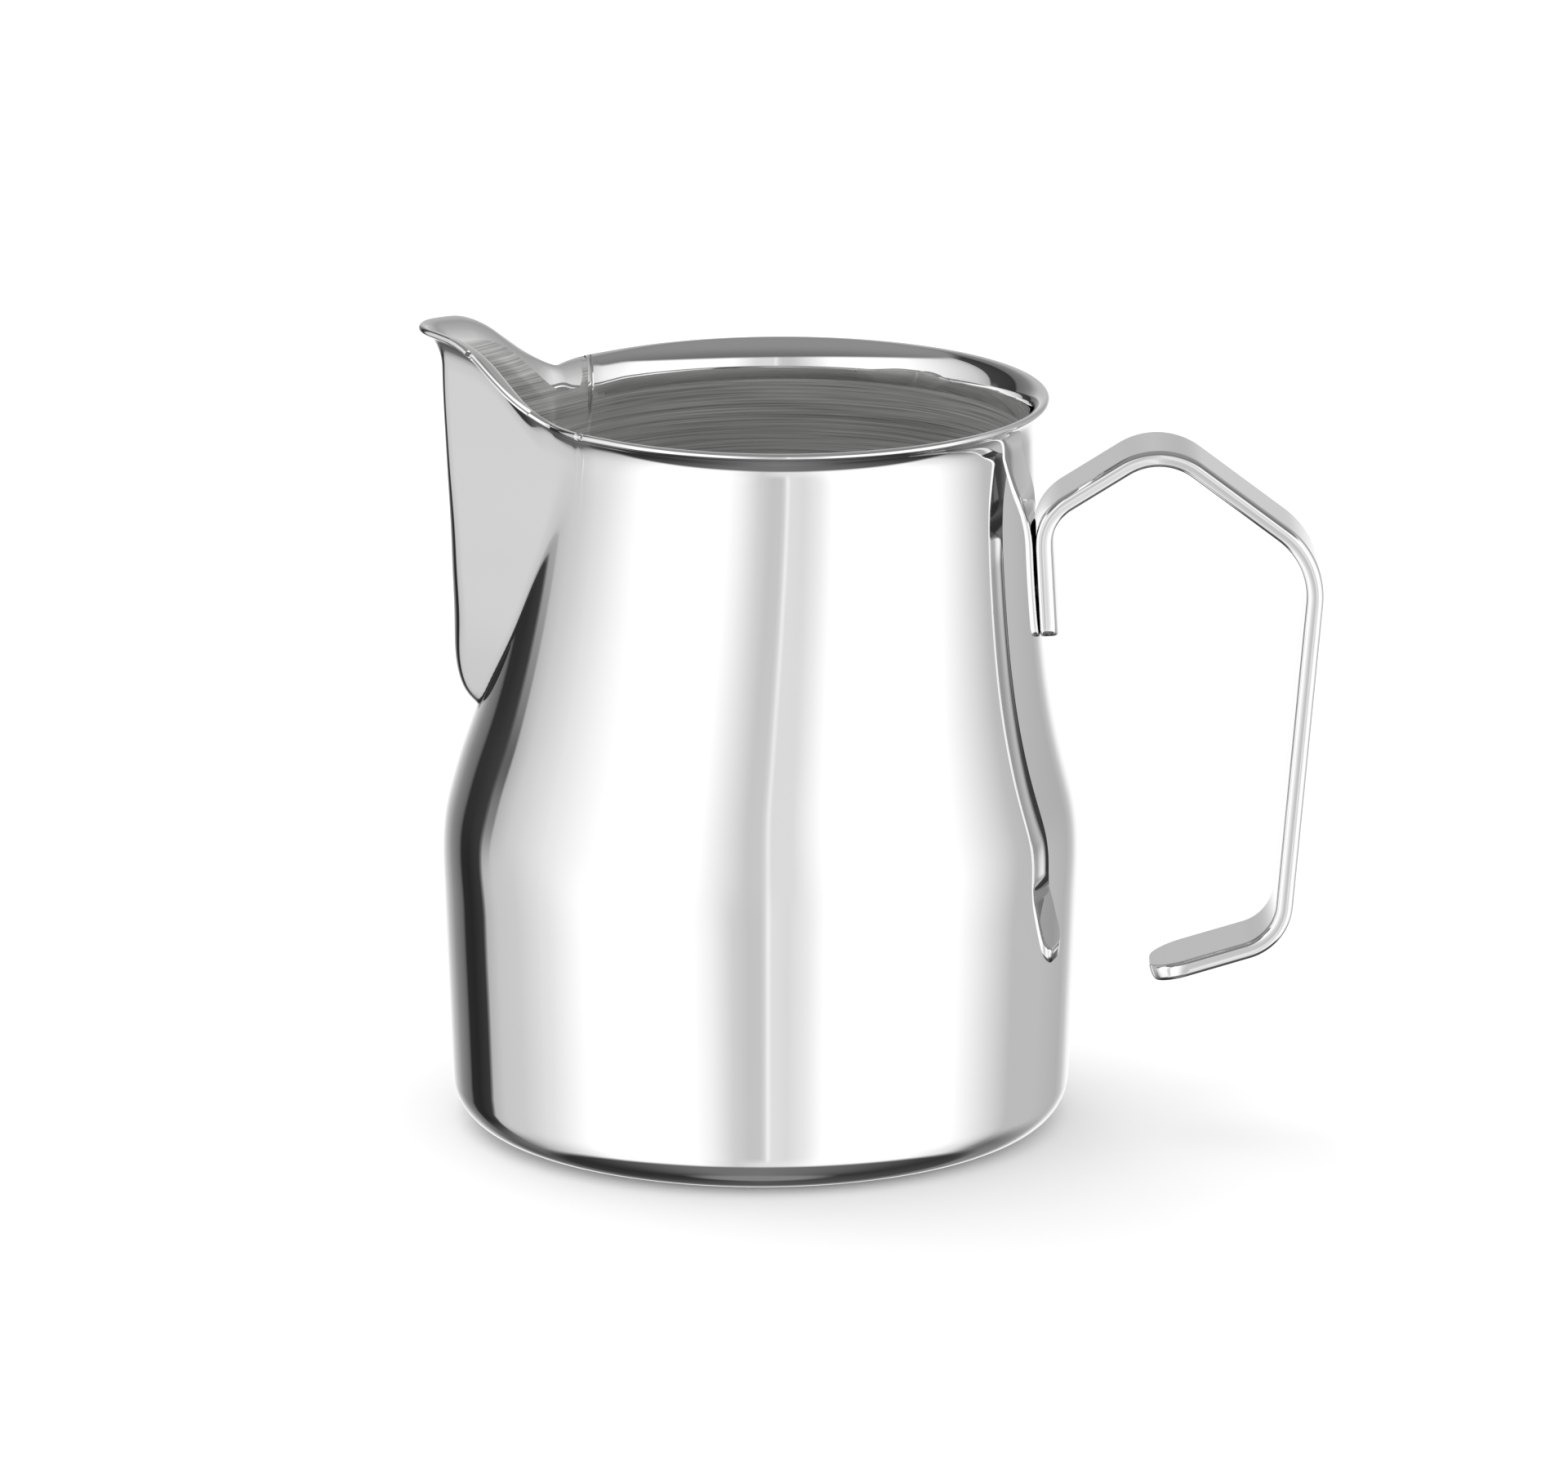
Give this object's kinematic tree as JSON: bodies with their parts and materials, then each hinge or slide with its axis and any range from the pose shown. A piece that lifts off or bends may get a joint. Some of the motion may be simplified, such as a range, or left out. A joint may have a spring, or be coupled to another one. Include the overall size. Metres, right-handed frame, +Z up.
{
  "type": "milk frothing pitcher",
  "caption": "Polished steel milk frothing pitcher with a flared rim, a tall welded-in pouring spout and an open flat-strap handle, about half a litre.",
  "frame": {"origin": "on the table under the middle of the base", "axes": "+Z up through the jug, spout towards -X, handle towards +X"},
  "size_m": [0.1262, 0.0902, 0.1149],
  "materials": {
    "polished_steel": "mirror polished outside, fine brushed inside",
    "strap_steel": "polished flat bar with rounded edges",
    "weld_steel": "weld metal ground flush"
  },
  "bodies": {
    "root": {"vessel_body": "polished_steel", "pouring_spout": "polished_steel", "spout_seam_weld": "weld_steel", "handle_strap": "strap_steel", "handle_spot_weld": "weld_steel"}
  },
  "joints": []
}
